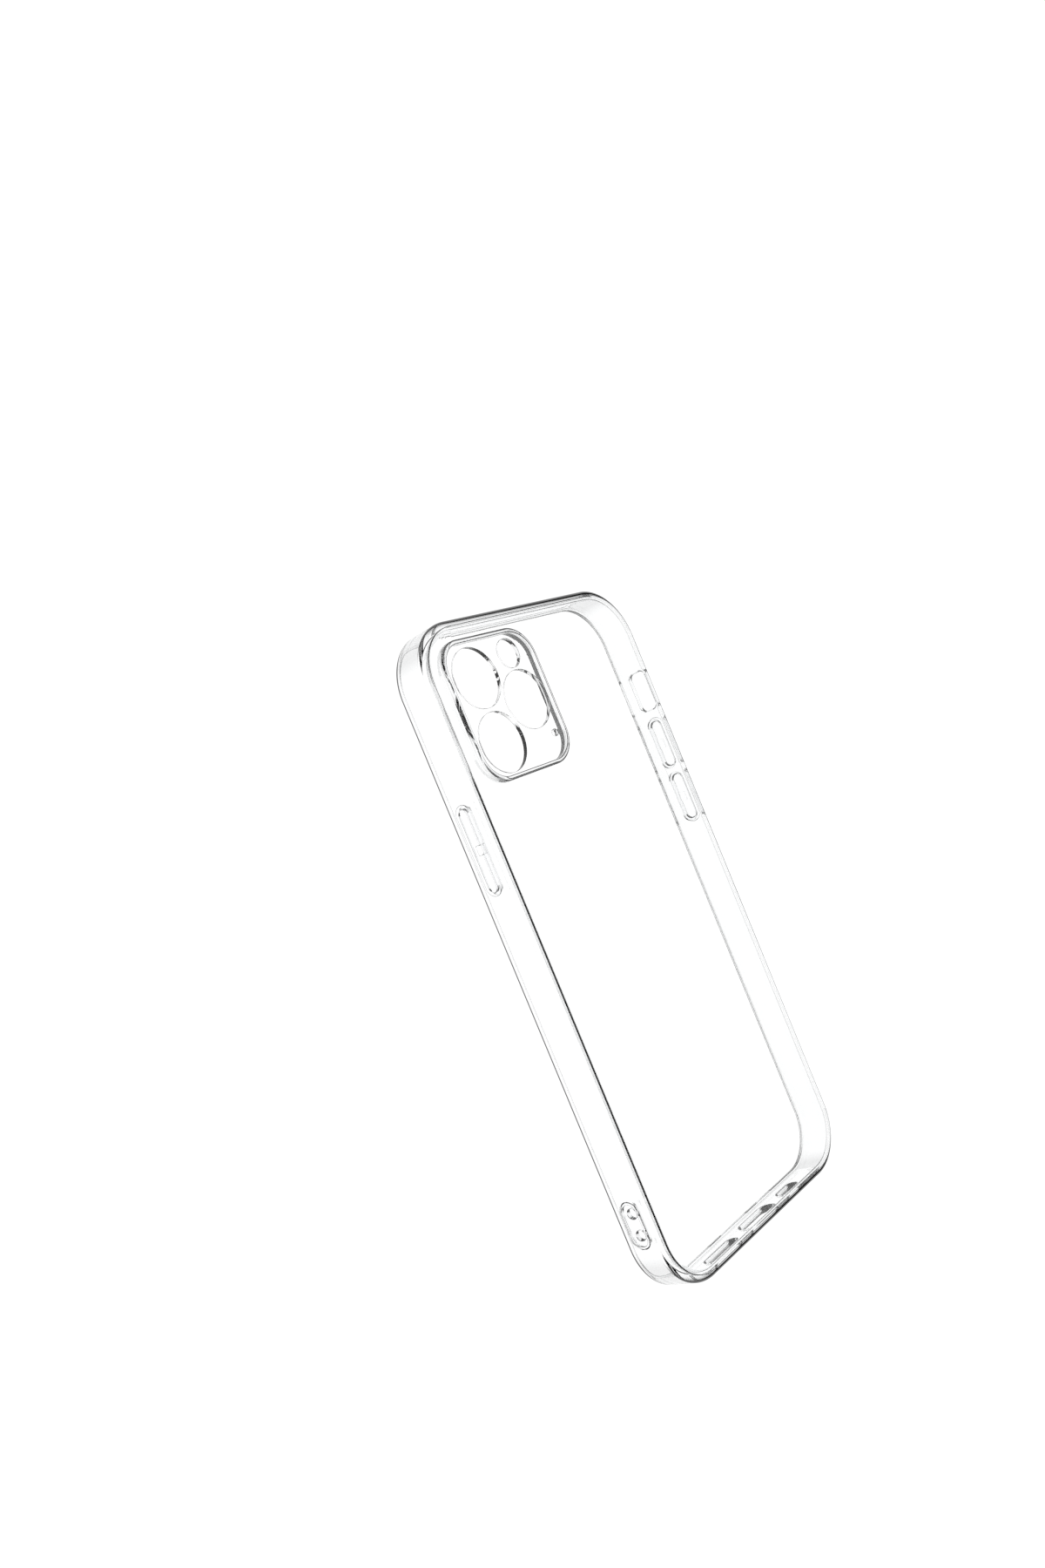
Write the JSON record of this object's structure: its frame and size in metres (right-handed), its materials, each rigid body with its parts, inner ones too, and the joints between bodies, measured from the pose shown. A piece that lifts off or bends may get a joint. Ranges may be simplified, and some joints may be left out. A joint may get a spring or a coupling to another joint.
{
  "type": "phone case",
  "caption": "Clear protective phone case with raised camera guard, drilled lens plate, press buttons and a lanyard eyelet.",
  "frame": {"origin": "middle of the lip plane that surrounds the screen opening, which is the bottom centre of the whole box", "axes": "+X across the width towards the volume buttons, +Y along the length towards the camera end, +Z out of the back"},
  "size_m": [0.0762, 0.15, 0.011],
  "materials": {
    "frame_soft": "clear soft plastic, polished",
    "back_hard": "clear hard plastic, polished",
    "guard_clear": "clear plastic, polished",
    "plate_clear": "clear plastic, polished",
    "eyelet_clear": "clear plastic, polished",
    "button_clear": "clear soft plastic, polished"
  },
  "bodies": {
    "case": {"bumper_frame": "frame_soft", "back_panel": "back_hard", "camera_guard": "guard_clear", "lens_plate": "plate_clear", "lanyard_eyelet": "eyelet_clear"},
    "power_button": {"power_button": "button_clear"},
    "volume_up_button": {"volume_up_button": "button_clear"},
    "volume_down_button": {"volume_down_button": "button_clear"}
  },
  "joints": [
    {"name": "power_press", "type": "slide", "parent": "case", "child": "power_button", "axis": [1, 0, 0], "range_m": [0, 0.0004], "stiffness_N_per_m": 3000},
    {"name": "volume_up_press", "type": "slide", "parent": "case", "child": "volume_up_button", "axis": [-1, 0, 0], "range_m": [0, 0.0004], "stiffness_N_per_m": 3000},
    {"name": "volume_down_press", "type": "slide", "parent": "case", "child": "volume_down_button", "axis": [-1, 0, 0], "range_m": [0, 0.0004], "stiffness_N_per_m": 3000}
  ]
}
